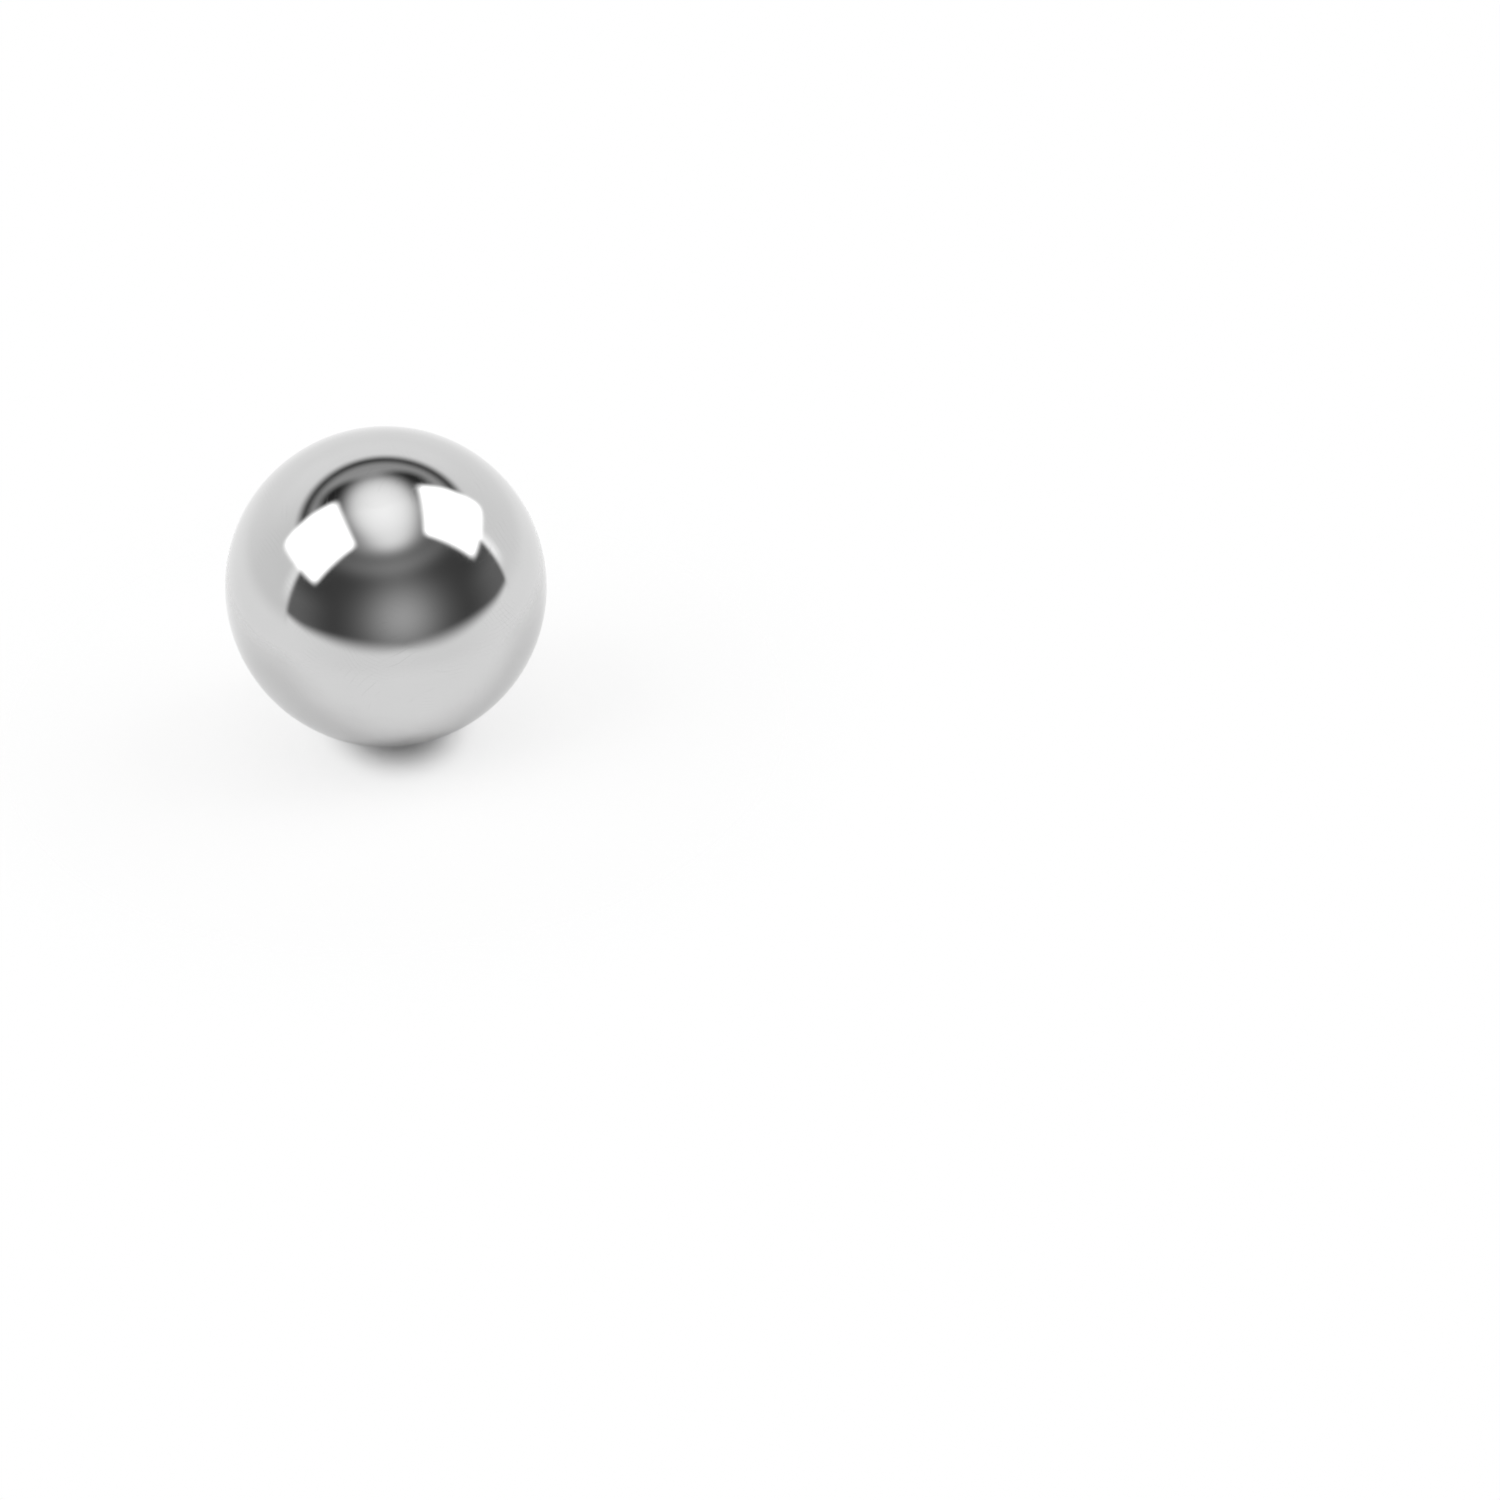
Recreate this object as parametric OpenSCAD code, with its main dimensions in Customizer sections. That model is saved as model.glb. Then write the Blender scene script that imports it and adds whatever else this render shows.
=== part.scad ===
// Polished steel ball: one solid sphere, ground and lapped all over,
// with no seam, flat, hole or neck anywhere on it.
// The origin is the ball's centre. What holds the ball is below it, along -Z.

/* [Ball] */
// Diameter of the ball: 12.7 is the half-inch stock size
ball_diameter = 12.7; // [3:0.1:50]

/* [Hidden] */
// Sides round the ball where it is drawn as a mesh
$fn = 180;

module ball() {
    color("silver")
        sphere(d = ball_diameter);
}

ball();
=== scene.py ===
"""Looks of the steel ball: a polished mirror on a white floor, in a white studio with a dark front."""

import math

import bpy
from mathutils import Matrix, Vector


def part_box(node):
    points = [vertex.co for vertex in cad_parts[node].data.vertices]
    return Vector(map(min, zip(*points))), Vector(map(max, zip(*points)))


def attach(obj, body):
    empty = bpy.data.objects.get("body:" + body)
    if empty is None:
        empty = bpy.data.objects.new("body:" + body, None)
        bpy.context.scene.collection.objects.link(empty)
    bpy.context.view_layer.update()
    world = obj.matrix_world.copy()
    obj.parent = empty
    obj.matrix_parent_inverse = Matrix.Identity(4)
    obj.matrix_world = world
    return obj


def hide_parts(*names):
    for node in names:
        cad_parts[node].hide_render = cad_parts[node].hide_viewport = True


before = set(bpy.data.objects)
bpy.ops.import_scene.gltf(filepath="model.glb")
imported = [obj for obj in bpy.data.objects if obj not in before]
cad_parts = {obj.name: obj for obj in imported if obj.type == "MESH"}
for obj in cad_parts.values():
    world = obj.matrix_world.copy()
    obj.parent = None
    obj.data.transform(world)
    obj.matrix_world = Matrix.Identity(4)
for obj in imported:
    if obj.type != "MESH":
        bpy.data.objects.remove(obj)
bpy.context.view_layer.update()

MM = 0.001  # metres in a millimetre

# ---------------------------------------------------------------- the object's own sizes, from the frame

LOW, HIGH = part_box("ball")
CENTRE = (LOW + HIGH) / 2
RADIUS = (HIGH.z - LOW.z) / 2

# ---------------------------------------------------------------- mesh of the ball

BALL_DIVISIONS = 64           # quads along each edge of the cube that is blown up into the ball
MAP_COLUMNS, MAP_ROWS = 3, 2  # how the cube's six faces lie on the texture map
MAP_MARGIN = 0.012            # bare rim round each of them, as a share of its width

# ---------------------------------------------------------------- polished steel
# Each noise is given by its size and its detail. Its levels lie round NOISE_MIDDLE.

NOISE_MIDDLE = 0.5

STEEL_REFLECTANCE = 0.64  # how much light polished bearing steel returns, straight on
CLOUD_REFLECTANCE = 0.04  # how far that wanders over the surface at most
CLOUD_NOISE = 3.5 * MM, 3

POLISH_ROUGHNESS = 0.06   # a lapped surface, all but a mirror
HAZE_ROUGHNESS = 0.03     # added where handling has left a faint haze
HAZE_NOISE = 2.2 * MM, 4
HAZE_RISE = 0.35, 0.75    # noise levels where the haze starts and is full

HAIRLINE_ROUGHNESS = 0.05  # added in the hairlines that the lapping plates leave
HAIRLINE_LOSS = 0.035      # taken off the reflectance in them
HAIRLINE_PITCH = 0.16 * MM
HAIRLINE_WIDTH = 0.10      # half of a line's width, as a share of the pitch
HAIRLINE_AXES = (0.83, 0.31, 0.46), (-0.28, 0.91, 0.30), (0.36, -0.44, 0.82)
HAIRLINE_STRAY = 3, 4, 5   # how far, in pitches, the lines round each axis stray from true circles
HAIRLINE_STRAY_NOISE = 3.5 * MM, 2
HAIRLINE_PATCH_NOISE = 1.3 * MM, 1
HAIRLINE_PATCH_RISE = 0.55, 0.72  # noise levels where a patch of lines starts and is full
HAIRLINE_PATCH_SHIFT = 3 * RADIUS  # of the noise along each axis, so that each has its own patches

# ---------------------------------------------------------------- camera, as in the photograph

CAMERA_PLACE = Vector((14.17, -178.43, 115.21)) * MM  # from the ball's centre
CAMERA_DIP = math.radians(34.722)                     # below the horizon
CAMERA_ROLL = math.radians(-1.914)
CAMERA_LENS = 128.75   # both in millimetres, as Blender takes them
CAMERA_SENSOR = 36.0

# ---------------------------------------------------------------- floor

FLOOR_COLOUR = 0.96
FLOOR_RADIUS = 24 * MM
FLOOR_FADE = 13 * MM, 21 * MM  # solid inside the first distance from the contact, gone past the second
FLOOR_SIDES = 128

# The floor is plain matt white. A share of pure white is painted over it for rays that look at it, from
# the camera or off the polished steel, so that it reads as white. That painted white thins away into the
# contact shadow, an ellipse, and grows farther off, so the ball's shadow is real light in its depth but
# painted in its shape and reach. Distances are from the contact, to the front and back. Each pair says
# where the turn from one level to the other begins and where it ends.

PAINTED_SHADOW_WIDTH = 0.69                   # the painted shadow ellipse's width, as a share of its length from front to back
PAINTED_SHADOW_SHIFT = -0.1 * MM              # of its middle, sideways

SEEN_PAINTED_SHADOW = 2.0 * MM, 4.8 * MM      # for the camera, the painted shadow's full depth and its end
SEEN_PAINTED_WHITE = 0.69                     # the painted white just outside the painted shadow
SEEN_MORE_PAINTED_WHITE = 0.18                # painted white added to it farther off
SEEN_RISE = 1.9 * MM, 8.5 * MM
SEEN_RISE_WIDTH = 1.6                 # that rise is this many times as wide as it is long

MIRRORED_PAINTED_SHADOW = 3.1 * MM, 5.1 * MM  # for the steel, the painted shadow's full depth and its end
MIRRORED_PAINTED_WHITE = 0.20, 0.95           # the painted white beside the ball and farther in front
MIRRORED_RISE = 3.0 * MM, 8.5 * MM

# ---------------------------------------------------------------- studio
# The studio is a bright surround. Its light depends on the direction alone: the azimuth from the
# studio's front, where the camera stands, and the elevation, both in degrees. A level of 1 is white.
# Where two azimuths (TURN, EDGE) or elevations (HEIGHT, FOOT) stand together, the light turns smoothly
# from what it is before the first to what it is past the second.

STUDIO_TURN = math.radians(14)  # the studio's front, turned from -Y towards +X

DARK_FRONT, DARK_BACK = 0.06, 0.01  # levels of the unlit room above the walls, in front and behind
DARK_TURN = 95, 125
SIDE_GLOW = 0.10                    # added to it low down, beside the walls' front edges
SIDE_GLOW_RISE = 45, 80             # azimuths over which that glow comes
SIDE_GLOW_FALL = 100, 80            # and, from the back, goes
SIDE_GLOW_HEIGHT = 26, 8

# Glows in the dark front: level, azimuth spread, elevation, elevation spread
LOW_GLOW = 0.40, 18, 9.5, 17.5
HIGH_GLOW = 0.16, 52, 46, 5
LAMP_GLOW = 0.36, 51, 60.5, 5

LAMP_PLACE = 0.03, 0.01  # overhead lamp: how far it lies to the side and front, as a share of its height
LAMP_SIZE = 0.41, 0.545  # half its width and depth, in the same shares
LAMP_LEVEL = 1.11
LAMP_EDGE = 4.8          # how sharply it ends
LAMP_CORE = 0.18         # added in its middle
LAMP_CORE_SIZE = 0.5     # over this share of its size
LOWEST_LAMP = 0.05       # upward part of a direction, under which no lamp is seen

WALL_EDGE = 82, 87     # where the white walls begin, on either side
WALL_LEFT, WALL_RIGHT, WALL_BACK = 0.83, 0.91, 0.96  # their levels
WALL_TURN = 95, 165    # from the sides' levels to the back's
WALL_LIFT_LEFT, WALL_LIFT_RIGHT = 0.28, 0.475  # added beside the front edges, near the soft boxes
WALL_LIFT_TURN = 95, 86
WALL_LIFT_HEIGHT = 0, 15
WALL_GLOW = 0.045      # added high up at the back
WALL_GLOW_TURN = 115, 150
WALL_GLOW_HEIGHT = 12, 28
WALL_TOP = 41.0        # elevation of the walls' top edge, at the back
WALL_DROP = 9.2        # how much lower it is at the sides, and half of how much in front
WALL_TILT = 1.1        # how much lower it is on the right than in the middle
ARC_SOFTNESS = 4.5     # half the height over which the walls' top and the band's edges turn

BAND_LEVEL = 0.39      # grey band above the back wall
BAND_GAP = 6.2         # height of the dark gap under it
BAND_TOP = 50.3        # elevation of its top, at the sides
BAND_TOP_RISE = 8.7    # how much higher that is at the back
BAND_TURN = 131, 175

GROUND_BACK, GROUND_FRONT = 1.0, 0.94  # its levels, behind and in front
GROUND_TURN = 0.2, 0.9      # forward parts of a level direction over which one turns into the other
GROUND_FOOT = 1, -12        # where the walls turn into the ground
GROUND_EDGE = 0.097         # downward part of a direction to the ground's front edge, at the sides
GROUND_BOW = 0.13           # how much more that is in the middle
GROUND_SLANT = 0.015        # and how much more on the right
GROUND_CORNER = 0.076       # how far that edge curves up to the walls' front edges
GROUND_CORNER_TURN = 67, 102
# How soft it is in the middle, and what the sideways part and that part's square add to this
GROUND_SOFTNESS = 0.087, 0.22, -0.256

# The soft boxes: azimuth, elevation, turn in its own plane, width and height as shares of its distance
LEFT_BOX = -88.8, 46.3, 2.0, 0.727, 0.713
RIGHT_BOX = 88.8, 44.0, -2.2, 0.717, 0.69
BOX_LEVEL = 2.8
BOX_SOFTNESS = 0.075   # half the width over which their edges turn, in the same shares


class Nodes:
    """Short ways to add the few kinds of shader node that this script uses."""

    def __init__(self, tree):
        self.tree = tree
        tree.nodes.clear()

    def add(self, kind, **settings):
        node = self.tree.nodes.new(kind)
        for name, value in settings.items():
            setattr(node, name, value)
        return node

    def feed(self, socket, value):
        if isinstance(value, bpy.types.NodeSocket):
            self.tree.links.new(value, socket)
        else:
            socket.default_value = value

    def finish(self, kind, shader):
        """The output node of a material or world, with its shader."""
        self.feed(self.add(kind).inputs["Surface"], shader.outputs[0])

    def math(self, operation, *values):
        node = self.add("ShaderNodeMath", operation=operation)
        for socket, value in zip(node.inputs, values):
            self.feed(socket, value)
        return node.outputs[0]

    def plus(self, first, *others):
        for other in others:
            first = self.math("ADD", first, other)
        return first

    def minus(self, first, second):
        return self.math("SUBTRACT", first, second)

    def times(self, first, *others):
        for other in others:
            first = self.math("MULTIPLY", first, other)
        return first

    def over(self, first, second):
        return self.math("DIVIDE", first, second)

    def length(self, x, y):
        """Length of the flat vector (x, y)."""
        return self.math("SQRT", self.plus(self.times(x, x), self.times(y, y)))

    def dot(self, vector, axis):
        node = self.add("ShaderNodeVectorMath", operation="DOT_PRODUCT")
        self.feed(node.inputs[0], vector)
        self.feed(node.inputs[1], axis)
        return node.outputs["Value"]

    def shift(self, vector, offset):
        node = self.add("ShaderNodeVectorMath", operation="ADD")
        self.feed(node.inputs[0], vector)
        self.feed(node.inputs[1], offset)
        return node.outputs[0]

    def noise(self, place, size, detail):
        node = self.add("ShaderNodeTexNoise", noise_dimensions="3D")
        self.feed(node.inputs["Vector"], place)
        self.feed(node.inputs["Scale"], 1 / size)
        self.feed(node.inputs["Detail"], detail)
        return node.outputs["Fac"]

    def ramp(self, value, start, end):
        """0 before start and 1 past end, with a smooth turn between. It falls if start is past end."""
        node = self.add("ShaderNodeMapRange", interpolation_type="SMOOTHSTEP")
        self.feed(node.inputs["Value"], value)
        self.feed(node.inputs["From Min"], start)
        self.feed(node.inputs["From Max"], end)
        return node.outputs["Result"]

    def blend(self, below, above, share):
        """above laid over below, by share."""
        node = self.add("ShaderNodeMix", data_type="FLOAT")
        self.feed(node.inputs["Factor"], share)
        self.feed(node.inputs["A"], below)
        self.feed(node.inputs["B"], above)
        return node.outputs["Result"]

    def blend_shaders(self, below, above, share):
        node = self.add("ShaderNodeMixShader")
        self.feed(node.inputs[0], share)
        self.feed(node.inputs[1], below.outputs[0])
        self.feed(node.inputs[2], above.outputs[0])
        return node

    def bell(self, *offsets):
        """A bell curve of (value, middle, spread) offsets: 1 in the middle, falling to 0 all round."""
        total = 0.0
        for value, middle, spread in offsets:
            scaled = self.over(self.minus(value, middle), spread)
            total = self.math("MULTIPLY_ADD", scaled, scaled, total)
        return self.math("EXPONENT", self.times(total, -0.5))


# ---------------------------------------------------------------- the ball

CUBE_TURNS = (
    Matrix.Identity(3),
    Matrix.Rotation(math.pi, 3, "X"),
    Matrix.Rotation(math.pi / 2, 3, "X"),
    Matrix.Rotation(-math.pi / 2, 3, "X"),
    Matrix.Rotation(math.pi / 2, 3, "Y"),
    Matrix.Rotation(-math.pi / 2, 3, "Y"),
)


def cube_point(side, i, j):
    """A point of the grid on a cube's side, in half steps from the cube's middle along each axis."""
    steps = Vector((2 * i - BALL_DIVISIONS, 2 * j - BALL_DIVISIONS, BALL_DIVISIONS))
    return tuple(round(count) for count in CUBE_TURNS[side] @ steps)


def way_to(point):
    """The way from the middle to such a point, with the grid's lines at equal angles."""
    return Vector([math.tan(count / BALL_DIVISIONS * math.pi / 4) for count in point]).normalized()


def map_point(side, i, j):
    """Where that point lies on the texture map."""
    column, row = side % MAP_COLUMNS, side // MAP_COLUMNS
    u = MAP_MARGIN + (1 - 2 * MAP_MARGIN) * i / BALL_DIVISIONS
    v = MAP_MARGIN + (1 - 2 * MAP_MARGIN) * j / BALL_DIVISIONS
    return (column + u) / MAP_COLUMNS, (row + v) / MAP_ROWS


def make_ball():
    """The ball as a cube's six gridded sides blown up to the sphere, so no point of it is a pole."""
    points = {}
    faces = []
    corners_uv = []
    for side in range(len(CUBE_TURNS)):
        for i in range(BALL_DIVISIONS):
            for j in range(BALL_DIVISIONS):
                face = []
                for di, dj in ((0, 0), (1, 0), (1, 1), (0, 1)):
                    point = cube_point(side, i + di, j + dj)
                    face.append(points.setdefault(point, len(points)))
                    corners_uv.append(map_point(side, i + di, j + dj))
                faces.append(face)
    ways = [way_to(point) for point in points]
    mesh = bpy.data.meshes.new("polished_ball")
    mesh.from_pydata([CENTRE + way * RADIUS for way in ways], [], faces)
    layer = mesh.uv_layers.new(name="OFBake")
    for corner, uv in zip(layer.data, corners_uv):
        corner.uv = uv
    mesh.shade_smooth()
    mesh.normals_split_custom_set_from_vertices(ways)
    mesh.materials.append(make_steel())
    ball = bpy.data.objects.new("polished_ball", mesh)
    bpy.context.scene.collection.objects.link(ball)
    return ball


def hairlines(n, place):
    """Fine circles round each lapping axis, broken up so that only short arcs of them show."""
    total = 0.0
    wander = n.noise(place, *HAIRLINE_STRAY_NOISE)
    for axis, stray in zip(HAIRLINE_AXES, HAIRLINE_STRAY):
        along = n.dot(place, Vector(axis).normalized() / HAIRLINE_PITCH)
        pitch_share = n.math("FRACT", n.math("MULTIPLY_ADD", wander, stray, along))
        line = n.ramp(n.math("ABSOLUTE", n.minus(pitch_share, 0.5)), HAIRLINE_WIDTH, 0)
        elsewhere = n.shift(place, Vector(axis) * HAIRLINE_PATCH_SHIFT)
        patch = n.ramp(n.noise(elsewhere, *HAIRLINE_PATCH_NOISE), *HAIRLINE_PATCH_RISE)
        total = n.plus(n.times(line, patch), total)
    return total


def make_steel():
    """Polished bearing steel: a bare metal mirror with faint clouds, haze and lapping hairlines."""
    material = bpy.data.materials.new("polished_steel")
    material.use_nodes = True
    n = Nodes(material.node_tree)
    place = n.add("ShaderNodeTexCoord").outputs["Object"]
    steel = n.add("ShaderNodeBsdfPrincipled")
    steel.inputs["Metallic"].default_value = 1.0
    lines = hairlines(n, place)
    cloud = n.minus(n.noise(place, *CLOUD_NOISE), NOISE_MIDDLE)
    grey = n.math("MULTIPLY_ADD", cloud, CLOUD_REFLECTANCE, STEEL_REFLECTANCE)
    grey = n.math("MULTIPLY_ADD", lines, -HAIRLINE_LOSS, grey)
    colour = n.add("ShaderNodeCombineColor")
    for channel in colour.inputs:
        n.feed(channel, grey)
    n.feed(steel.inputs["Base Color"], colour.outputs[0])
    haze = n.ramp(n.noise(place, *HAZE_NOISE), *HAZE_RISE)
    rough = n.math("MULTIPLY_ADD", haze, HAZE_ROUGHNESS, POLISH_ROUGHNESS)
    rough = n.math("MULTIPLY_ADD", lines, HAIRLINE_ROUGHNESS, rough)
    n.feed(steel.inputs["Roughness"], rough)
    n.finish("ShaderNodeOutputMaterial", steel)
    return material


# ---------------------------------------------------------------- floor


def studio_axes():
    """Unit vectors to the studio's front, to its side (the +X way) and up."""
    front = Vector((math.sin(STUDIO_TURN), -math.cos(STUDIO_TURN), 0))
    side = Vector((math.cos(STUDIO_TURN), math.sin(STUDIO_TURN), 0))
    return front, side, Vector((0, 0, 1))


def make_floor():
    """A round white floor under the ball."""
    points = [Vector((0, 0, LOW.z))]
    for k in range(FLOOR_SIDES):
        turn = 2 * math.pi * k / FLOOR_SIDES
        points.append(Vector((FLOOR_RADIUS * math.cos(turn), FLOOR_RADIUS * math.sin(turn), LOW.z)))
    faces = [(0, 1 + k, 1 + (k + 1) % FLOOR_SIDES) for k in range(FLOOR_SIDES)]
    mesh = bpy.data.meshes.new("floor")
    mesh.from_pydata(points, [], faces)
    mesh.materials.append(make_floor_material())
    floor = bpy.data.objects.new("floor", mesh)
    bpy.context.scene.collection.objects.link(floor)


def painted_white_share(n, front, side):
    """Share of painted white over the floor, by how far a place lies to the contact's front and side. It
    paints the shape of the shadow that shows.
    """
    path = n.add("ShaderNodeLightPath")
    reach = n.length(front, n.over(n.minus(side, PAINTED_SHADOW_SHIFT), PAINTED_SHADOW_WIDTH))
    farther = n.ramp(n.length(front, n.over(side, SEEN_RISE_WIDTH)), *SEEN_RISE)
    outside = n.ramp(reach, *SEEN_PAINTED_SHADOW)
    seen = n.plus(n.times(outside, SEEN_PAINTED_WHITE), n.times(farther, SEEN_MORE_PAINTED_WHITE))
    outside = n.ramp(reach, *MIRRORED_PAINTED_SHADOW)
    mirrored = n.times(outside, n.blend(*MIRRORED_PAINTED_WHITE, n.ramp(front, *MIRRORED_RISE)))
    off_steel_alone = n.math("LESS_THAN", path.outputs["Diffuse Depth"], 1)
    return n.plus(n.times(seen, path.outputs["Is Camera Ray"]),
                  n.times(mirrored, path.outputs["Is Glossy Ray"], off_steel_alone))


def make_floor_material():
    """Matt white with painted white over it that paints the shadow's shape, fading out away from the
    ball, and clear when it is looked at from underneath.
    """
    material = bpy.data.materials.new("white_floor")
    material.use_nodes = True
    n = Nodes(material.node_tree)
    place = n.add("ShaderNodeTexCoord").outputs["Object"]
    front_axis, side_axis, _ = studio_axes()
    front = n.dot(place, front_axis)
    side = n.dot(place, side_axis)
    matt = n.add("ShaderNodeBsdfDiffuse")
    matt.inputs["Color"].default_value = (FLOOR_COLOUR, FLOOR_COLOUR, FLOOR_COLOUR, 1)
    # painted white, laid over the matt floor for the camera and the steel; it lights nothing
    white = n.add("ShaderNodeEmission")
    lit = n.blend_shaders(matt, white, painted_white_share(n, front, side))
    under = n.add("ShaderNodeNewGeometry").outputs["Backfacing"]
    clear = n.math("MAXIMUM", n.ramp(n.length(front, side), *FLOOR_FADE), under)
    n.finish("ShaderNodeOutputMaterial", n.blend_shaders(lit, n.add("ShaderNodeBsdfTransparent"), clear))
    material.cycles.emission_sampling = "NONE"  # so that the white lights nothing
    return material


# ---------------------------------------------------------------- studio


class View:
    """The direction that a ray leaves in, measured in the studio's own axes."""

    def __init__(self, n):
        self.direction = n.add("ShaderNodeTexCoord").outputs["Generated"]
        self.front, self.side, self.up = (n.dot(self.direction, axis) for axis in studio_axes())
        self.flat = n.length(self.front, self.side)  # the length of its level part
        self.elevation = n.math("DEGREES", n.math("ARCSINE", self.up))
        self.azimuth = n.math("DEGREES", n.math("ARCTAN2", self.side, self.front))
        self.around = n.math("ABSOLUTE", self.azimuth)


def dark_room(n, view):
    """The unlit room above and in front of the walls, with its glows."""
    light = n.blend(DARK_FRONT, DARK_BACK, n.ramp(view.around, *DARK_TURN))
    beside_walls = n.times(n.ramp(view.around, *SIDE_GLOW_RISE), n.ramp(view.around, *SIDE_GLOW_FALL))
    glow = n.times(beside_walls, n.ramp(view.elevation, *SIDE_GLOW_HEIGHT), SIDE_GLOW)
    light = n.plus(light, glow)
    for level, azimuth_spread, elevation, elevation_spread in (LOW_GLOW, HIGH_GLOW, LAMP_GLOW):
        glow = n.bell((view.azimuth, 0, azimuth_spread), (view.elevation, elevation, elevation_spread))
        light = n.plus(light, n.times(glow, level))
    return light


def overhead_lamp(n, view):
    """A round soft lamp straight above, brighter in its middle."""
    height = n.math("MAXIMUM", view.up, LOWEST_LAMP)
    offsets = []
    for axis, place, size in zip((view.side, view.front), LAMP_PLACE, LAMP_SIZE):
        offsets.append(n.over(n.minus(n.over(axis, height), place), size))
    reach = n.length(*offsets)
    disc = n.math("EXPONENT", n.times(n.math("POWER", reach, LAMP_EDGE), -1))
    core = n.math("EXPONENT", n.times(reach, reach, -1 / LAMP_CORE_SIZE ** 2))
    lamp = n.plus(n.times(disc, LAMP_LEVEL), n.times(core, LAMP_CORE))
    return n.times(lamp, n.math("GREATER_THAN", view.up, LOWEST_LAMP))


def wall_top(n, view):
    """Elevation of the white wall's top edge."""
    fall = n.times(n.plus(1.0, n.over(view.front, view.flat)), WALL_DROP)
    slope = n.times(n.over(view.side, view.flat), WALL_TILT)
    return n.minus(n.minus(WALL_TOP, fall), slope)


def grey_band(n, view, light):
    """A grey band laid over the light, above a dark gap over the back wall."""
    bottom = n.plus(wall_top(n, view), BAND_GAP)
    top = n.plus(BAND_TOP, n.times(n.ramp(view.around, *BAND_TURN), BAND_TOP_RISE))
    above_bottom = n.ramp(n.minus(view.elevation, bottom), -ARC_SOFTNESS, ARC_SOFTNESS)
    below_top = n.ramp(n.minus(view.elevation, top), ARC_SOFTNESS, -ARC_SOFTNESS)
    behind = n.math("LESS_THAN", view.front, 0)
    return n.blend(light, BAND_LEVEL, n.times(above_bottom, below_top, behind))


def white_wall(n, view, light):
    """The white walls at the sides and back, laid over the light."""
    is_right = n.math("GREATER_THAN", view.side, 0)
    side_level = n.blend(WALL_LEFT, WALL_RIGHT, is_right)
    level = n.blend(side_level, WALL_BACK, n.ramp(view.around, *WALL_TURN))
    lift = n.blend(WALL_LIFT_LEFT, WALL_LIFT_RIGHT, is_right)
    lift_share = n.times(n.ramp(view.around, *WALL_LIFT_TURN), n.ramp(view.elevation, *WALL_LIFT_HEIGHT))
    glow_share = n.times(n.ramp(view.around, *WALL_GLOW_TURN), n.ramp(view.elevation, *WALL_GLOW_HEIGHT))
    level = n.plus(level, n.times(lift_share, lift), n.times(glow_share, WALL_GLOW))
    above_top = n.minus(view.elevation, wall_top(n, view))
    below_top = n.ramp(above_top, ARC_SOFTNESS, -ARC_SOFTNESS)
    return n.blend(light, level, n.times(n.ramp(view.around, *WALL_EDGE), below_top))


def ground(n, view, light):
    """The white ground below, laid over the light. In front it ends in a bowed edge."""
    corner = n.times(n.ramp(view.around, *GROUND_CORNER_TURN), -GROUND_CORNER)
    bow = n.times(view.front, view.front, GROUND_BOW)
    slant = n.times(view.side, GROUND_SLANT)
    edge = n.plus(GROUND_EDGE, bow, slant, corner)
    sideways = n.math("ABSOLUTE", view.side)
    in_front, by_side, by_square = GROUND_SOFTNESS
    softness = n.plus(in_front, n.times(sideways, by_side), n.times(sideways, sideways, by_square))
    front_share = n.ramp(n.over(n.plus(view.up, edge), softness), 1, -1)
    foot_share = n.ramp(view.elevation, *GROUND_FOOT)
    before_walls = n.ramp(view.around, WALL_EDGE[1], WALL_EDGE[0])
    level = n.blend(GROUND_BACK, GROUND_FRONT, n.ramp(n.over(view.front, view.flat), *GROUND_TURN))
    return n.blend(light, level, n.blend(foot_share, front_share, before_walls))


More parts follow.
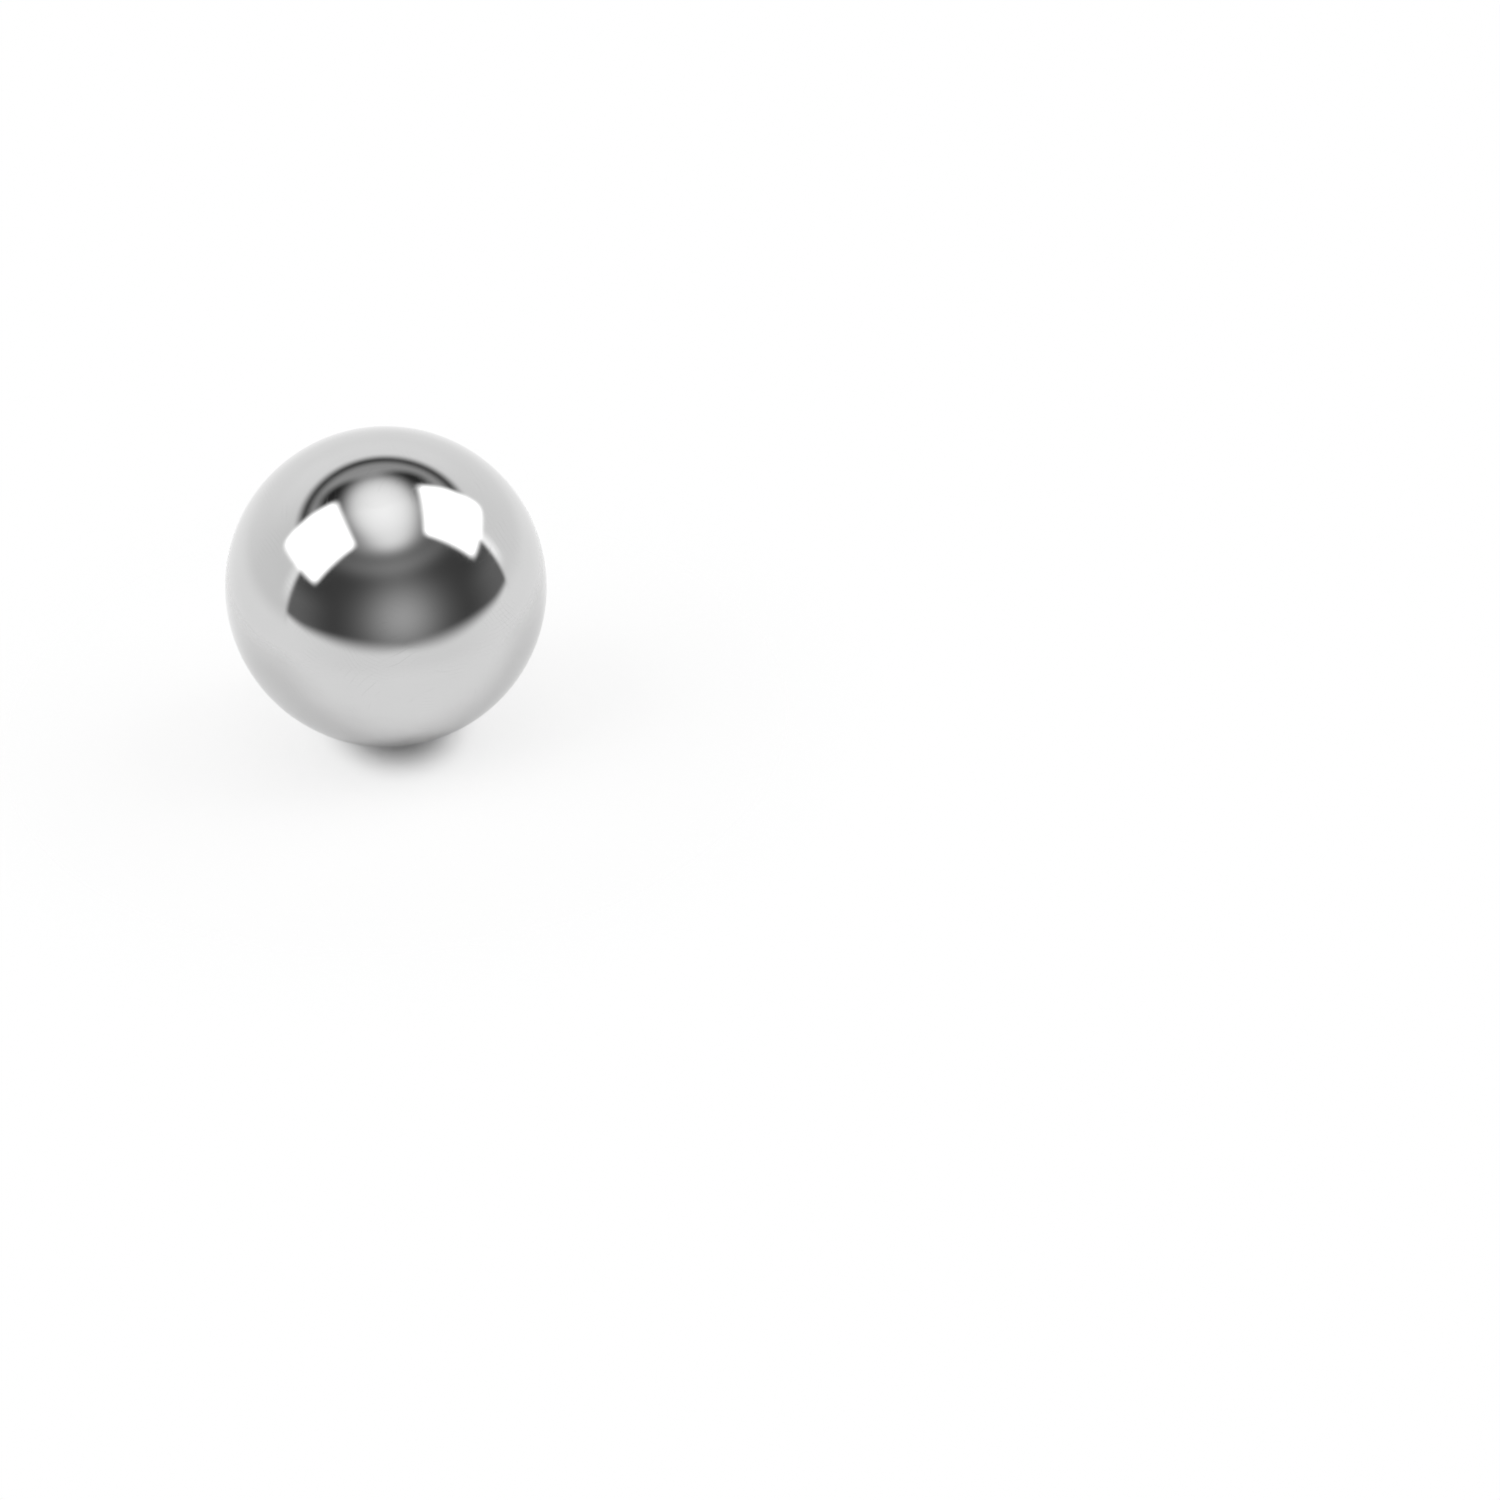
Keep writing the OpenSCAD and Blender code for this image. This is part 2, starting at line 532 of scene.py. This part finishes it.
def soft_box(n, view, light, azimuth, elevation, turn, width, height):
    """A flat square lamp that faces the ball, laid over the light."""
    azimuth, elevation, turn = (math.radians(angle) for angle in (azimuth, elevation, turn))
    aim = Matrix.Rotation(STUDIO_TURN + azimuth, 3, "Z") @ Matrix.Rotation(-elevation, 3, "X")
    across, middle, upward = (aim @ Vector(axis) for axis in ((-1, 0, 0), (0, -1, 0), (0, 0, 1)))
    right = across * math.cos(turn) + upward * math.sin(turn)
    top = upward * math.cos(turn) - across * math.sin(turn)
    depth = n.dot(view.direction, middle)
    share = n.math("GREATER_THAN", depth, 0)
    for axis, size in ((right, width), (top, height)):
        offset = n.math("ABSOLUTE", n.over(n.dot(view.direction, axis), depth))
        share = n.times(share, n.ramp(offset, size / 2 + BOX_SOFTNESS, size / 2 - BOX_SOFTNESS))
    return n.blend(light, BOX_LEVEL, share)


def studio_light(n):
    """The light that comes from each direction of the studio, as one number."""
    view = View(n)
    light = grey_band(n, view, dark_room(n, view))
    light = n.plus(light, overhead_lamp(n, view))
    light = white_wall(n, view, light)
    light = ground(n, view, light)
    for box in (LEFT_BOX, RIGHT_BOX):
        light = soft_box(n, view, light, *box)
    return light


def make_studio():
    """The studio lights the ball and shows in it. The camera itself sees plain white."""
    world = bpy.data.worlds.new("studio")
    world.use_nodes = True
    n = Nodes(world.node_tree)
    background = n.add("ShaderNodeBackground")
    background.inputs["Color"].default_value = (1, 1, 1, 1)
    seen = n.add("ShaderNodeLightPath").outputs["Is Camera Ray"]
    n.feed(background.inputs["Strength"], n.blend(studio_light(n), 1.0, seen))
    n.finish("ShaderNodeOutputWorld", background)
    bpy.context.scene.world = world


def make_camera():
    data = bpy.data.cameras.new("camera")
    data.lens = CAMERA_LENS
    data.sensor_width = CAMERA_SENSOR
    camera = bpy.data.objects.new("camera", data)
    tilt = Matrix.Rotation(math.pi / 2 - CAMERA_DIP, 4, "X") @ Matrix.Rotation(CAMERA_ROLL, 4, "Z")
    camera.matrix_world = Matrix.Translation(CENTRE + CAMERA_PLACE) @ tilt
    bpy.context.scene.collection.objects.link(camera)
    bpy.context.scene.camera = camera


make_camera()
make_studio()
make_floor()

ball = make_ball()
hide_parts("ball")
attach(ball, "root")

bpy.context.scene.view_settings.view_transform = "Standard"
bpy.context.scene.cycles.blur_glossy = 0  # keeps the light that the ball throws on the floor true
